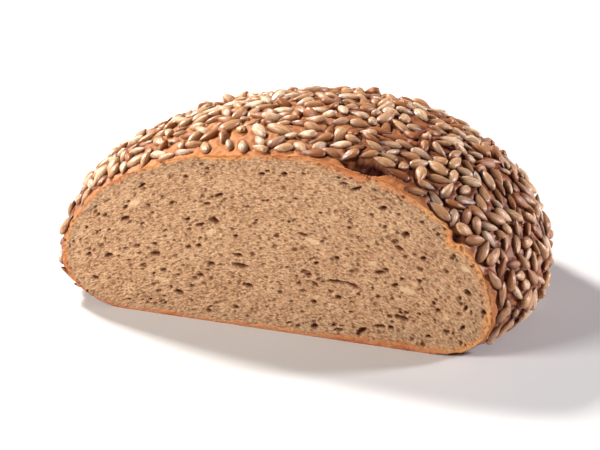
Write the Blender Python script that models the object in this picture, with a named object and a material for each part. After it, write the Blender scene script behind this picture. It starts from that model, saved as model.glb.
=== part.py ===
"""Sunflower seed bread: a round loaf, baked crowded with kernels, with its front part sliced away.

One solid. The cut face looks along -Y and shows the crumb, +Z is up, and the origin is under the middle
of the piece, on the surface that it rests on. All sizes are in metres.
"""

import math
import random

import bmesh
import bpy
import numpy as np
from mathutils import Matrix, Vector
from mathutils.bvhtree import BVHTree

# The whole loaf, before it was cut
LOAF_RADIUS = 0.110
LOAF_HEIGHT = 0.089
WIDEST_HEIGHT = 0.021
BASE_RADIUS = 0.083
TOP_SHIFT = 0.011

# The cut, and the place that centres what is left of the loaf on the origin
CUT_FROM_AXIS = 0.0435
KERNEL_STAND = 0.0018
CUT_Y = -(LOAF_RADIUS + KERNEL_STAND + CUT_FROM_AXIS) / 2
AXIS_Y = CUT_Y + CUT_FROM_AXIS

# Unevenness of the form: share of the radius, waves round the loaf, phase
ROUND_SWELLS = ((0.006, 2, 0.7), (0.006, 3, 2.3), (0.004, 5, 4.1), (0.003, 8, 1.2))
TOP_LUMP = 0.0011
LUMP_LENGTH = 0.052

# Facets of the loaf
TURN_STEPS = 40
RISE_STEPS_BELOW = 3
RISE_STEPS_ABOVE = 8

# Kernels: a hulled sunflower seed, blunt at one end and pointed at the other
KERNEL_LENGTH = 0.0106
KERNEL_WIDTH = 0.0048
KERNEL_THICKNESS = 0.0031
KERNEL_SUNK = 0.0012
KERNEL_COUNT = 273
KERNEL_GAP = 0.0104
KERNEL_VARIES = 0.14
LOWEST_KERNEL = math.radians(-48)
CUT_MARGIN = 0.0006
KERNEL_RINGS = (-0.55, 0.35)
BLUNT_END, POINTED_END = 0.50, 0.85

# The fissure where the crust split in baking, close behind the cut
FISSURE_TURN = math.radians(-48.5)
FISSURE_RISE = math.radians(62.9)
FISSURE_HEADING = math.radians(-38)
FISSURE_HALF_LENGTH = 0.0105
FISSURE_HALF_WIDTH = 0.0030
FISSURE_DEPTH = 0.0026
FISSURE_MARGIN = 0.0020

# Larger pores of the crumb: x and z on the cut, half length, height over length, slope
LARGE_PORES = (
    (0.0335, 0.0275, 0.0074, 0.16, -0.10),
    (0.0610, 0.0150, 0.0035, 0.42, -0.26),
    (0.0421, 0.0061, 0.0030, 0.45, 0.64),
    (0.0392, 0.0727, 0.0030, 0.32, 0.40),
    (0.0503, 0.0351, 0.0028, 0.30, 0.07),
    (0.0620, 0.0545, 0.0018, 0.90, -0.20),
    (0.0515, 0.0653, 0.0018, 0.60, -0.09),
    (-0.0152, 0.0290, 0.0040, 0.32, -0.05),
    (-0.0117, 0.0199, 0.0029, 0.36, -0.14),
    (-0.0274, 0.0489, 0.0027, 0.62, -0.35),
)

# Smaller pores, spread at random between them
SMALL_PORE_COUNT = 20
SMALL_PORE_HALF_LENGTHS = (0.0011, 0.0022)
SMALL_PORE_FLATNESS = 0.48
SMALL_PORE_SLOPE = 0.25
PORE_GAP = 0.011
PORE_RIM_MARGIN = 0.007
PORE_DEPTH = 0.0016
PIT_SIDES = 6

RANDOM_START = 11
CRUST_BROWN = (0.30, 0.115, 0.045, 1.0)


def clear_scene():
    for old in list(bpy.data.objects):
        bpy.data.objects.remove(old, do_unlink=True)


def crust_points(turn, rise):
    """Points of the whole loaf's crust: turn goes round its axis from +X, and rise from the base's rim,
    at -90 degrees, over the widest line, at 0, to the top, at 90 degrees."""
    turn, rise = np.asarray(turn, float), np.asarray(rise, float)
    above = rise > 0
    radius = np.where(
        above,
        LOAF_RADIUS * np.cos(rise),
        BASE_RADIUS + (LOAF_RADIUS - BASE_RADIUS) * np.cos(rise),
    )
    for share, waves, phase in ROUND_SWELLS:
        radius = radius * (1 + share * np.cos(waves * turn + phase))
    climb = np.where(above, LOAF_HEIGHT - WIDEST_HEIGHT, WIDEST_HEIGHT)
    height = WIDEST_HEIGHT + climb * np.sin(rise)
    x = radius * np.cos(turn)
    y = radius * np.sin(turn)
    crown = np.where(above, np.sin(rise), 0.0)
    wave = 2 * math.pi / LUMP_LENGTH
    height = height + TOP_LUMP * crown**2 * np.sin(wave * x + 1.0) * np.cos(wave * y)
    return np.stack([x + TOP_SHIFT * crown**3, y + AXIS_Y, height], axis=-1)


def crust_frame(turn, rise):
    """(point, outward normal, direction round the loaf) of the crust."""
    step = 1e-3
    point = crust_points(turn, rise)
    along = crust_points(turn + step, rise) - crust_points(turn - step, rise)
    up = crust_points(turn, rise + step) - crust_points(turn, rise - step)
    normal = np.cross(along, up)
    return point, normal / np.linalg.norm(normal), along / np.linalg.norm(along)


def spread_area(rise):
    """How much crust lies round a rise, for an even spread: 1 at the widest line."""
    if rise > 0:
        radius = math.cos(rise)
        climb = LOAF_HEIGHT - WIDEST_HEIGHT
        sweep = math.hypot(LOAF_RADIUS * math.sin(rise), climb * math.cos(rise))
    else:
        overhang = LOAF_RADIUS - BASE_RADIUS
        radius = (BASE_RADIUS + overhang * math.cos(rise)) / LOAF_RADIUS
        sweep = math.hypot(overhang * math.sin(rise), WIDEST_HEIGHT * math.cos(rise))
    return radius * sweep / LOAF_RADIUS


def fissure_frame():
    """(centre, direction along the fissure, direction across it, outward normal)."""
    centre, normal, along = crust_frame(FISSURE_TURN, FISSURE_RISE)
    up = np.cross(normal, along)
    direction = math.cos(FISSURE_HEADING) * along + math.sin(FISSURE_HEADING) * up
    return centre, direction, np.cross(normal, direction), normal


def in_fissure(point):
    """Whether a point of the crust lies over the fissure, or nearly so."""
    centre, direction, side, _ = fissure_frame()
    along = (point - centre) @ direction / (FISSURE_HALF_LENGTH + FISSURE_MARGIN)
    across = (point - centre) @ side / (FISSURE_HALF_WIDTH + FISSURE_MARGIN)
    return along**2 + across**2 < 1


def kernel_reach(size, direction):
    """How far a kernel of this size reaches along -Y, lying in this direction."""
    across = math.sqrt(max(0.0, 1 - direction[1] ** 2))
    half_length, half_width = KERNEL_LENGTH * size / 2, KERNEL_WIDTH * size / 2
    return half_length * abs(direction[1]) + half_width * across


def kernel_places(draw, facets):
    """Matrix of each kernel: evenly spread, turned at random, clear of the cut and sunk in the facets."""
    surface = BVHTree.FromPolygons(
        [vert.co for vert in facets.vertices], [face.vertices for face in facets.polygons]
    )
    places, centres = [], np.empty((0, 3))
    while len(places) < KERNEL_COUNT:
        turn = draw.uniform(-math.pi, math.pi)
        rise = draw.uniform(LOWEST_KERNEL, math.pi / 2)
        kept = draw.random() < spread_area(rise)
        heading = draw.uniform(0, 2 * math.pi)
        size = draw.uniform(1 - KERNEL_VARIES, 1 + KERNEL_VARIES)
        if not kept:
            continue
        point, normal, along = crust_frame(turn, rise)
        if len(centres) and np.linalg.norm(centres - point, axis=1).min() < KERNEL_GAP:
            continue
        if in_fissure(point):
            continue
        up = np.cross(normal, along)
        direction = math.cos(heading) * along + math.sin(heading) * up
        if point[1] - kernel_reach(size, direction) < CUT_Y + CUT_MARGIN:
            continue
        side = np.cross(normal, direction)
        lift = KERNEL_THICKNESS * size / 2 - KERNEL_SUNK
        place = np.eye(4)
        place[:3, :3] = np.stack([direction, side, normal], axis=1) * size
        place[:3, 3] = np.array(surface.find_nearest(point)[0]) + lift * normal
        places.append(Matrix(place.tolist()))
        centres = np.vstack([centres, point])
    return places


def fullness(along):
    """Share of a kernel's full breadth at a place from -1, its blunt end, to 1, its point."""
    widest = (BLUNT_END - POINTED_END) / (BLUNT_END + POINTED_END)
    full = (1 + widest) ** BLUNT_END * (1 - widest) ** POINTED_END
    return (1 + along) ** BLUNT_END * (1 - along) ** POINTED_END / full


def kernel_mesh():
    """A kernel lying along X: rings of five points between its two ends."""
    build = bmesh.new()
    blunt = build.verts.new((-KERNEL_LENGTH / 2, 0, 0))
    point = build.verts.new((KERNEL_LENGTH / 2, 0, 0))
    half_width, half_thickness = KERNEL_WIDTH / 2, KERNEL_THICKNESS / 2
    rings = []
    for along in KERNEL_RINGS:
        full = fullness(along)
        outline = ((-1, -0.2), (-0.5, 0.9), (0.5, 0.9), (1, -0.2), (0, -1.0))
        rings.append(
            [
                build.verts.new(
                    (along * KERNEL_LENGTH / 2, y * half_width * full, z * half_thickness * full)
                )
                for y, z in outline
            ]
        )
    sides = len(rings[0])
    for i in range(sides):
        j = (i + 1) % sides
        build.faces.new((blunt, rings[0][j], rings[0][i]))
        build.faces.new((point, rings[-1][i], rings[-1][j]))
        for near, far in zip(rings, rings[1:]):
            build.faces.new((near[i], near[j], far[j], far[i]))
    bmesh.ops.recalc_face_normals(build, faces=build.faces)
    mesh = bpy.data.meshes.new("kernel")
    build.to_mesh(mesh)
    build.free()
    return mesh


def loaf_mesh():
    """The cut loaf without kernels: the turned form, bisected and closed on the cut."""
    build = bmesh.new()
    rises = np.concatenate(
        [
            np.linspace(-math.pi / 2, 0, RISE_STEPS_BELOW + 1)[:-1],
            np.linspace(0, math.pi / 2, RISE_STEPS_ABOVE + 1)[:-1],
        ]
    )
    turns = np.arange(TURN_STEPS) * 2 * math.pi / TURN_STEPS
    rings = [
        [build.verts.new(point) for point in crust_points(turns, np.full(TURN_STEPS, rise))]
        for rise in rises
    ]
    build.faces.new(list(reversed(rings[0])))
    top = build.verts.new(crust_points(0.0, math.pi / 2))
    for i in range(TURN_STEPS):
        j = (i + 1) % TURN_STEPS
        build.faces.new((rings[-1][i], rings[-1][j], top))
        for lower, upper in zip(rings, rings[1:]):
            build.faces.new((lower[i], lower[j], upper[j], upper[i]))
    geometry = build.verts[:] + build.edges[:] + build.faces[:]
    cut = bmesh.ops.bisect_plane(
        build,
        geom=geometry,
        dist=1e-6,
        plane_co=(0, CUT_Y, 0),
        plane_no=(0, -1, 0),
        clear_outer=True,
    )
    rim = [edge for edge in cut["geom_cut"] if isinstance(edge, bmesh.types.BMEdge)]
    bmesh.ops.edgenet_fill(build, edges=rim)
    bmesh.ops.recalc_face_normals(build, faces=build.faces)
    mesh = bpy.data.meshes.new("loaf")
    build.to_mesh(mesh)
    build.free()
    return mesh


def pit_mesh(half_length, half_width, depth):
    """A lens-shaped cutter: long along X, wide along Z, and from a ring outside to its point at +Y."""
    build = bmesh.new()
    rings = []
    for inward, grown in ((-depth / 2, 1.25), (depth / 2, 0.75)):
        ring = []
        for i in range(PIT_SIDES):
            angle = 2 * math.pi * i / PIT_SIDES
            x = half_length * grown * math.cos(angle)
            z = half_width * grown * math.sin(angle)
            ring.append(build.verts.new((x, inward, z)))
        rings.append(ring)
    bottom = build.verts.new((0, depth, 0))
    build.faces.new(rings[0])
    for i in range(PIT_SIDES):
        j = (i + 1) % PIT_SIDES
        build.faces.new((rings[0][i], rings[0][j], rings[1][j], rings[1][i]))
        build.faces.new((rings[1][i], rings[1][j], bottom))
    bmesh.ops.recalc_face_normals(build, faces=build.faces)
    mesh = bpy.data.meshes.new("pit")
    build.to_mesh(mesh)
    build.free()
    return mesh


def fissure_cutter():
    """The mesh and matrix that cut the fissure."""
    centre, direction, side, normal = fissure_frame()
    place = np.eye(4)
    place[:3, :3] = np.stack([direction, -normal, side], axis=1)
    place[:3, 3] = centre
    mesh = pit_mesh(FISSURE_HALF_LENGTH, FISSURE_HALF_WIDTH, FISSURE_DEPTH)
    return mesh, Matrix(place.tolist())


def pore_cutter(x, z, half_length, flatness, slope):
    """The mesh and matrix that cut one pore."""
    mesh = pit_mesh(half_length, half_length * flatness, PORE_DEPTH)
    return mesh, Matrix.Translation((x, CUT_Y, z)) @ Matrix.Rotation(-slope, 4, "Y")


def inside_crumb(x, z, margin):
    """Whether a point of the cut plane lies this far inside the loaf's outline."""
    if not margin < z < LOAF_HEIGHT - margin:
        return False
    lift = (z - WIDEST_HEIGHT) / (LOAF_HEIGHT - WIDEST_HEIGHT)
    if lift > 0:
        reach = LOAF_RADIUS * math.sqrt(1 - lift**2)
        shift = TOP_SHIFT * lift**3
    else:
        overhang = LOAF_RADIUS - BASE_RADIUS
        reach = BASE_RADIUS + overhang * math.sqrt(1 - (1 - z / WIDEST_HEIGHT) ** 2)
        shift = 0.0
    half_chord = math.sqrt(max(0.0, (reach - margin) ** 2 - CUT_FROM_AXIS**2))
    return abs(x - shift) < half_chord


def pores(draw):
    """(x, z, half length, flatness, slope) of each pore on the cut."""
    found = list(LARGE_PORES)
    while len(found) < len(LARGE_PORES) + SMALL_PORE_COUNT:
        x = draw.uniform(-LOAF_RADIUS, LOAF_RADIUS)
        z = draw.uniform(0, LOAF_HEIGHT)
        half_length = draw.uniform(*SMALL_PORE_HALF_LENGTHS)
        slope = draw.gauss(0, SMALL_PORE_SLOPE)
        near = any(math.hypot(x - other[0], z - other[1]) < PORE_GAP for other in found)
        if not near and inside_crumb(x, z, PORE_RIM_MARGIN):
            found.append((x, z, half_length, SMALL_PORE_FLATNESS, slope))
    return found


def collection_of(name, meshes_and_places):
    """A collection with one object for each mesh and matrix."""
    made = bpy.data.collections.new(name)
    bpy.context.scene.collection.children.link(made)
    for mesh, place in meshes_and_places:
        item = bpy.data.objects.new(name, mesh)
        item.matrix_world = place
        made.objects.link(item)
    return made


def apply_boolean(target, operation, tools):
    """Joins or cuts target with every object of the collection, which is then removed."""
    modifier = target.modifiers.new(operation.lower(), "BOOLEAN")
    modifier.operation = operation
    modifier.operand_type = "COLLECTION"
    modifier.collection = tools
    modifier.solver = "EXACT"
    bpy.context.view_layer.objects.active = target
    bpy.ops.object.modifier_apply(modifier=modifier.name)
    for item in list(tools.objects):
        bpy.data.objects.remove(item, do_unlink=True)
    bpy.data.collections.remove(tools)


def crust_material():
    material = bpy.data.materials.new("crust")
    material.use_nodes = True
    shader = material.node_tree.nodes["Principled BSDF"]
    shader.inputs["Base Color"].default_value = CRUST_BROWN
    shader.inputs["Roughness"].default_value = 0.55
    shader.inputs["Metallic"].default_value = 0.0
    return material


def main():
    clear_scene()
    draw = random.Random(RANDOM_START)
    loaf = bpy.data.objects.new("loaf", loaf_mesh())
    bpy.context.scene.collection.objects.link(loaf)
    kernel = kernel_mesh()
    kernels = collection_of(
        "kernel", [(kernel, place) for place in kernel_places(draw, loaf.data)]
    )
    apply_boolean(loaf, "UNION", kernels)
    pits = [fissure_cutter()] + [pore_cutter(*pore) for pore in pores(draw)]
    apply_boolean(loaf, "DIFFERENCE", collection_of("pit", pits))
    loaf.data.materials.clear()
    loaf.data.materials.append(crust_material())


main()
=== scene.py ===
"""The looks of the cut loaf: its browned crust, its crumb and its kernels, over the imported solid."""

import math
import random

import bmesh
import bpy
import numpy as np
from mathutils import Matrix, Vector, kdtree, noise
from mathutils.geometry import delaunay_2d_cdt

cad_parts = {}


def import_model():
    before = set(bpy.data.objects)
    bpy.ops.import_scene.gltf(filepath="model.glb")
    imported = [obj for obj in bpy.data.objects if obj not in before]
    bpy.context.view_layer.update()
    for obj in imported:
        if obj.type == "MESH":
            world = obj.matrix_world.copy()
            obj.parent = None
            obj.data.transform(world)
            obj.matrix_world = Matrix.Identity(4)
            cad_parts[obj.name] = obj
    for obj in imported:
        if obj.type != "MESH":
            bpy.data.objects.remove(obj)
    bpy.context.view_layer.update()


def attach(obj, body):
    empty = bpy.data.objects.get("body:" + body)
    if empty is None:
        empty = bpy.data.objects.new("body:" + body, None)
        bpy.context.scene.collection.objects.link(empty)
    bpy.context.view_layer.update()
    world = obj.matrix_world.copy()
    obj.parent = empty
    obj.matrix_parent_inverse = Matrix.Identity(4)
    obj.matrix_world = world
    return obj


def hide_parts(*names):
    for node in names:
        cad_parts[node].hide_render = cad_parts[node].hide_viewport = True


# The form of the whole loaf, as in the solid
LOAF_RADIUS = 0.110
LOAF_HEIGHT = 0.089
WIDEST_HEIGHT = 0.021
BASE_RADIUS = 0.083
TOP_SHIFT = 0.011
CUT_FROM_AXIS = 0.0435
KERNEL_STAND = 0.0018
CUT_Y = -(LOAF_RADIUS + KERNEL_STAND + CUT_FROM_AXIS) / 2
AXIS_Y = CUT_Y + CUT_FROM_AXIS
ROUND_SWELLS = ((0.006, 2, 0.7), (0.006, 3, 2.3), (0.004, 5, 4.1), (0.003, 8, 1.2))
TOP_LUMP = 0.0011
LUMP_LENGTH = 0.052

# The kernels of the solid
KERNEL_LENGTH = 0.0106
KERNEL_WIDTH = 0.0048
KERNEL_THICKNESS = 0.0031
SOLID_KERNELS = 273
SOLID_KERNEL_GAP = 0.0104
KERNEL_VARIES = 0.14
LOWEST_KERNEL = math.radians(-48)
CUT_MARGIN = 0.0006
KERNEL_PAST_CUT = 0.0001
BLUNT_END, POINTED_END = 0.50, 0.85
RANDOM_START = 11

# The fissure, as in the solid
FISSURE_TURN = math.radians(-48.5)
FISSURE_RISE = math.radians(62.9)
FISSURE_HEADING = math.radians(-38)
FISSURE_HALF_LENGTH = 0.0105
FISSURE_HALF_WIDTH = 0.0030
FISSURE_DEPTH = 0.0026
FISSURE_MARGIN = 0.0020
FISSURE_ROOM = 0.0008
FISSURE_LIP = 0.0020
FISSURE_PUSH = 0.0040

# A small pit where a kernel came off, beside the cut on the right
NOTCH_TURN = math.radians(-27.4)
NOTCH_RISE = math.radians(31.6)
NOTCH_RADIUS = 0.0036
NOTCH_DEPTH = 0.0024

# All the kernels that the crust carries
KERNELS = 860
PLACES = 24000
CENTRE_MARGIN = 0.0030
SMALLEST_BETWEEN, LARGEST_BETWEEN = 0.82, 1.08
LOOSE_SHARE = 0.26
CLOSEST = 0.0048
EVEN_GAP = 0.0078
EVEN_FORCE = 0.06
OVERLAP_FORCE = 0.32
CUT_FORCE, MOST_SHORT = 0.5, 0.002
TWIST_FORCE, MOST_TWIST = 9e4, 0.25
SETTLE_STEPS = 80
STEPS_PER_SEARCH = 6
SETTLE_RADIUS = 0.0135
HIGHEST_RISE = math.radians(89.9)
KERNEL_DISCS = ((-0.55, 0.82), (0.0, 1.0), (0.55, 0.64))
PACKED = 1.06
KERNEL_SECTIONS = 8
KERNEL_SIDES = 10

# Ranges of their forms: length, width and thickness as shares of the solid's, how they bend, how far
# they sink into the dough, how square their section is, and the dent along them
LONG, WIDE, THICK = (0.92, 1.16), (0.90, 1.18), (1.00, 1.42)
BEND, CURVE = 0.07, 0.08
HELD_TILT, FREE_ROLL = 0.14, 0.34
SUNK, TILTED_SUNK, ROLLED_SUNK = (0.0007, 0.0017), (0.0010, 0.0019), (0.0006, 0.0014)
TILTED, ROLLED = (0.22, 0.56), (0.6, 1.1)
TILTED_SHARE, TILTED_OR_ROLLED_SHARE = 0.30, 0.48
SQUARED, DENT = (0.72, 1.20), (0.0, 0.30)

# The barer patch on top, just behind the cut
BARE_X, BARE_Y = -0.010, -0.066
BARE_HALF_WIDTH, BARE_HALF_DEPTH = 0.024, 0.011
BARE_ROOM = 1.15

# The dough is paler round this place on top, and browner down the sides: partly its own bake, partly
# painted light, lighter on top where the light falls
PALE_X, PALE_Y = -0.030, -0.060
PALE_REACH = 0.054

# How far up from the dough a kernel's foot gets painted shade, and the lowest and highest place of any
# kernel
SHADED_FOOT = 0.0021
FLOOR_GAP = 0.0002
HIGHEST = 0.0932

# Fineness of the meshes, and how far apart the rows of evenly spread points lie, as a share of a step
CRUST_STEP = 0.00090
CRUMB_STEP = 0.00043
ROW_SHARE = 0.87
PROFILE_POINTS = 4000
FEWEST_IN_RING = 6
BASE_RINGS = 28
MERGED_AT_CUT = 4e-5

# Height, length and random start of each share of the dough's low relief, which the kernels ride on
# too, and of how the fissure's edges wander
DOUGH_SWELLS = ((0.00055, 0.021, 1), (0.00028, 0.009, 2))
FISSURE_WANDER = ((0.0011, 0.007, 8), (0.0005, 0.0022, 10))
FISSURE_WIDER = 1.45

# The dough's collar and groove round each kernel: where its middle lies, as a share of the kernel's
# half breadth, how far it reaches from there, and how high or deep it is
COLLAR_PLACE, COLLAR_REACH, COLLAR_HEIGHT = 1.42, 0.22, 0.00075
GROOVE_PLACE, GROOVE_REACH, GROOVE_DEPTH = 1.04, 0.17, 0.00070
NEIGHBOURS = 4

# How far up from the base's rim, as an angle, the relief fades in and the browned base goes on
RELIEF_FADE = 0.25
BASE_BROWNING = 0.5

# How far the crust and the crumb go on behind the cut inside the loaf, and how much they narrow there
CRUST_BACK, CRUST_NARROWS = 0.0048, 0.972
CRUMB_BACK, CRUMB_NARROWS = 0.0036, 0.965

MILLIMETRES = 1000
FAR = 9.0

# Larger pores of the crumb: x and z on the cut, half length, height over length, slope
LARGE_PORES = (
    (0.0300, 0.0279, 0.0046, 0.19, 0.05),
    (0.0374, 0.0272, 0.0046, 0.19, -0.24),
    (0.0610, 0.0150, 0.0035, 0.36, -0.26),
    (0.0421, 0.0061, 0.0029, 0.45, 0.64),
    (0.0199, 0.0050, 0.0019, 0.70, 0.28),
    (0.0392, 0.0727, 0.0027, 0.36, 0.40),
    (0.0336, 0.0743, 0.0022, 0.30, 0.03),
    (0.0503, 0.0351, 0.0025, 0.40, 0.07),
    (0.0574, 0.0302, 0.0016, 0.60, 0.26),
    (0.0620, 0.0545, 0.0018, 0.90, -0.20),
    (0.0591, 0.0478, 0.0022, 0.40, -0.40),
    (0.0700, 0.0445, 0.0014, 0.80, -0.15),
    (0.0515, 0.0653, 0.0018, 0.60, -0.09),
    (0.0058, 0.0752, 0.0015, 0.75, 0.00),
    (-0.0046, 0.0738, 0.0017, 0.45, 0.00),
    (-0.0251, 0.0612, 0.0024, 0.38, 0.43),
    (-0.0309, 0.0563, 0.0019, 0.45, 0.24),
    (-0.0274, 0.0489, 0.0026, 0.60, -0.35),
    (-0.0341, 0.0461, 0.0023, 0.35, 0.31),
    (-0.0348, 0.0359, 0.0015, 0.60, 0.14),
    (-0.0152, 0.0290, 0.0040, 0.32, -0.05),
    (-0.0162, 0.0339, 0.0030, 0.26, -0.12),
    (-0.0117, 0.0199, 0.0029, 0.36, -0.14),
    (-0.0292, 0.0278, 0.0020, 0.55, 0.04),
    (-0.0404, 0.0476, 0.0016, 0.55, 0.40),
    (0.0146, 0.0479, 0.0030, 0.26, -0.19),
    (0.0202, 0.0251, 0.0019, 0.50, -0.55),
    (0.0199, 0.0167, 0.0012, 0.95, -0.20),
    (0.0313, 0.0205, 0.0016, 0.60, -0.10),
    (0.0302, 0.0389, 0.0014, 0.70, -0.14),
    (0.0171, 0.0293, 0.0016, 0.50, -0.10),
    (0.0314, 0.0050, 0.0022, 0.35, 0.20),
    (0.0506, 0.0095, 0.0030, 0.30, 0.04),
    (0.0769, 0.0210, 0.0013, 0.80, 0.00),
    (0.0731, 0.0081, 0.0014, 0.60, 0.16),
    (0.0883, 0.0145, 0.0015, 0.60, 0.90),
    (0.0896, 0.0239, 0.0016, 0.55, 1.10),
    (0.0905, 0.0313, 0.0021, 0.50, -0.85),
    (0.0815, 0.0114, 0.0011, 0.70, 0.35),
    (-0.0620, 0.0610, 0.0020, 0.45, 0.60),
    (-0.0705, 0.0440, 0.0024, 0.45, 0.45),
    (-0.0560, 0.0290, 0.0026, 0.40, 0.10),
    (-0.0790, 0.0250, 0.0021, 0.50, 0.30),
    (-0.0450, 0.0120, 0.0024, 0.40, -0.05),
    (-0.0860, 0.0130, 0.0017, 0.55, -0.30),
)

# Sunflower seeds that the knife cut in the crumb: x, z, half length, height over length, slope
CUT_SEEDS = (
    (-0.0290, 0.0430, 0.0030, 0.55, 0.52),
    (0.0628, 0.0284, 0.0046, 0.34, -0.24),
    (0.0892, 0.0422, 0.0030, 0.42, -0.42),
    (0.0468, 0.0387, 0.0024, 0.50, 0.33),
    (0.0191, 0.0455, 0.0042, 0.30, -0.21),
    (-0.0660, 0.0520, 0.0036, 0.40, 0.50),
    (-0.0530, 0.0170, 0.0034, 0.42, -0.10),
)

# Smaller pores, spread at random between them: how many, shortest and longest half length, and faintest
# and darkest painted shade in them
SMALL_PORES = (
    (6000, 0.00045, 0.00100, 0.10, 0.62),
    (420, 0.00090, 0.00150, 0.50, 1.00),
)

# Depth of the pores
DEEPEST_PORE = 0.0022
LARGE_PORE_DEPTH = 0.0007
SMALL_PORE_DEPTH = 0.0001

# How much the grain of the crumb arches: its lines fall by this times the square of the distance.
# Its relief and its colours are finer in height than in length by this factor.
GRAIN_ARCH = 2.6
GRAIN_STRETCH = 2.6

# The crumb's open relief: height, length and random start of each share
CRUMB_RELIEF = ((0.00026, 0.0048, 22), (0.00026, 0.0024, 23), (0.00012, 0.0012, 24))
CRUMB_SUNK = 0.00008
CRUMB_FADE = 0.0016
CRUMB_JITTER = 0.12
CRUMB_CLEARANCE = 0.55

# The rim's colour reaches further in towards +X, where a distance from the edge counts for less
RIM_WIDENS = 5.5
WIDEST_RIM, NARROWEST_RIM = 0.62, 1.6
FOOT_HEIGHT = 0.0045

# Random starts of the crumb's pores and of the kernels' forms
PORES_START = 5
FORMS_START = 8


# Form of the crust


def crust_points(turn, rise):
    """Points of the whole loaf's crust: turn goes round its axis from +X, and rise from the base's rim,
    at -90 degrees, over the widest line, at 0, to the top, at 90 degrees."""
    turn, rise = np.asarray(turn, float), np.asarray(rise, float)
    above = rise > 0
    lower_radius = BASE_RADIUS + (LOAF_RADIUS - BASE_RADIUS) * np.cos(rise)
    radius = np.where(above, LOAF_RADIUS * np.cos(rise), lower_radius)
    for share, waves, phase in ROUND_SWELLS:
        radius = radius * (1 + share * np.cos(waves * turn + phase))
    climb = np.where(above, LOAF_HEIGHT - WIDEST_HEIGHT, WIDEST_HEIGHT)
    height = WIDEST_HEIGHT + climb * np.sin(rise)
    x = radius * np.cos(turn)
    y = radius * np.sin(turn)
    crown = np.where(above, np.sin(rise), 0.0)
    wave = 2 * math.pi / LUMP_LENGTH
    height = height + TOP_LUMP * crown**2 * np.sin(wave * x + 1.0) * np.cos(wave * y)
    return np.stack([x + TOP_SHIFT * crown**3, y + AXIS_Y, height], axis=-1)


def unit(vectors):
    return vectors / np.linalg.norm(vectors, axis=-1, keepdims=True)


def crust_frame(turn, rise):
    """(point, outward normal, direction round the loaf) of the crust."""
    step = 1e-3
    point = crust_points(turn, rise)
    along = crust_points(turn + step, rise) - crust_points(turn - step, rise)
    up = crust_points(turn, rise + step) - crust_points(turn, rise - step)
    return point, unit(np.cross(along, up)), unit(along)


def headed(heading, normal, along):
    """Direction on the crust: round the loaf at heading 0, and up it at a quarter turn."""
    up = np.cross(normal, along)
    return np.cos(heading)[..., None] * along + np.sin(heading)[..., None] * up


def crust_angles(points):
    """Turn and rise of points near the crust."""
    x, y, z = points[..., 0], points[..., 1] - AXIS_Y, points[..., 2]
    lift = np.clip((z - WIDEST_HEIGHT) / (LOAF_HEIGHT - WIDEST_HEIGHT), 0, 1)
    x = x - TOP_SHIFT * lift**3
    radius = np.hypot(x, y)
    above = np.arctan2((z - WIDEST_HEIGHT) / (LOAF_HEIGHT - WIDEST_HEIGHT), radius / LOAF_RADIUS)
    outward = np.maximum(radius - BASE_RADIUS, 1e-6) / (LOAF_RADIUS - BASE_RADIUS)
    below = np.arctan2((z - WIDEST_HEIGHT) / WIDEST_HEIGHT, outward)
    return np.arctan2(y, x), np.where(z > WIDEST_HEIGHT, above, below)


def spread_area(rise):
    """How much crust lies round a rise, for an even spread: 1 at the widest line."""
    if rise > 0:
        radius = math.cos(rise)
        climb = LOAF_HEIGHT - WIDEST_HEIGHT
        sweep = math.hypot(LOAF_RADIUS * math.sin(rise), climb * math.cos(rise))
    else:
        overhang = LOAF_RADIUS - BASE_RADIUS
        radius = (BASE_RADIUS + overhang * math.cos(rise)) / LOAF_RADIUS
        sweep = math.hypot(overhang * math.sin(rise), WIDEST_HEIGHT * math.cos(rise))
    return radius * sweep / LOAF_RADIUS


def fissure_frame():
    """(centre, direction along the fissure, direction across it, outward normal)."""
    centre, normal, along = crust_frame(FISSURE_TURN, FISSURE_RISE)
    direction = headed(FISSURE_HEADING, normal, along)
    return centre, direction, np.cross(normal, direction), normal


def in_fissure(point):
    """Whether a point of the crust lies over the fissure, or nearly so."""
    centre, direction, side, _ = fissure_frame()
    along = (point - centre) @ direction / (FISSURE_HALF_LENGTH + FISSURE_MARGIN)
    across = (point - centre) @ side / (FISSURE_HALF_WIDTH + FISSURE_MARGIN)
    return along**2 + across**2 < 1


# Places of the kernels


def kernel_reach(size, direction):
    """How far a kernel of this size reaches along -Y, lying in this direction."""
    lengthways = np.abs(direction[..., 1])
    across = np.sqrt(np.maximum(1 - lengthways**2, 0))
    return KERNEL_LENGTH / 2 * size * lengthways + KERNEL_WIDTH / 2 * size * across


def solid_kernels(draw):
    """(turn, rise, heading, size) of the kernels that the solid has too."""
    places, centres = [], np.empty((0, 3))
    while len(places) < SOLID_KERNELS:
        turn = draw.uniform(-math.pi, math.pi)
        rise = draw.uniform(LOWEST_KERNEL, math.pi / 2)
        kept = draw.random() < spread_area(rise)
        heading = draw.uniform(0, 2 * math.pi)
        size = draw.uniform(1 - KERNEL_VARIES, 1 + KERNEL_VARIES)
        if not kept:
            continue
        point, normal, along = crust_frame(turn, rise)
        if len(centres) and np.linalg.norm(centres - point, axis=1).min() < SOLID_KERNEL_GAP:
            continue
        if in_fissure(point):
            continue
        direction = headed(heading, normal, along)
        if point[1] - kernel_reach(size, direction) < CUT_Y + CUT_MARGIN:
            continue
        places.append((turn, rise, heading, size))
        centres = np.vstack([centres, point])
    return places


def room_at(points):
    """How much farther apart kernels lie at each point than elsewhere."""
    across = (points[:, 0] - BARE_X) / BARE_HALF_WIDTH
    behind = (points[:, 1] - BARE_Y) / BARE_HALF_DEPTH
    barer = (points[:, 2] > WIDEST_HEIGHT * 2) & (across**2 + behind**2 < 1)
    return np.where(barer, BARE_ROOM, 1.0)


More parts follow.
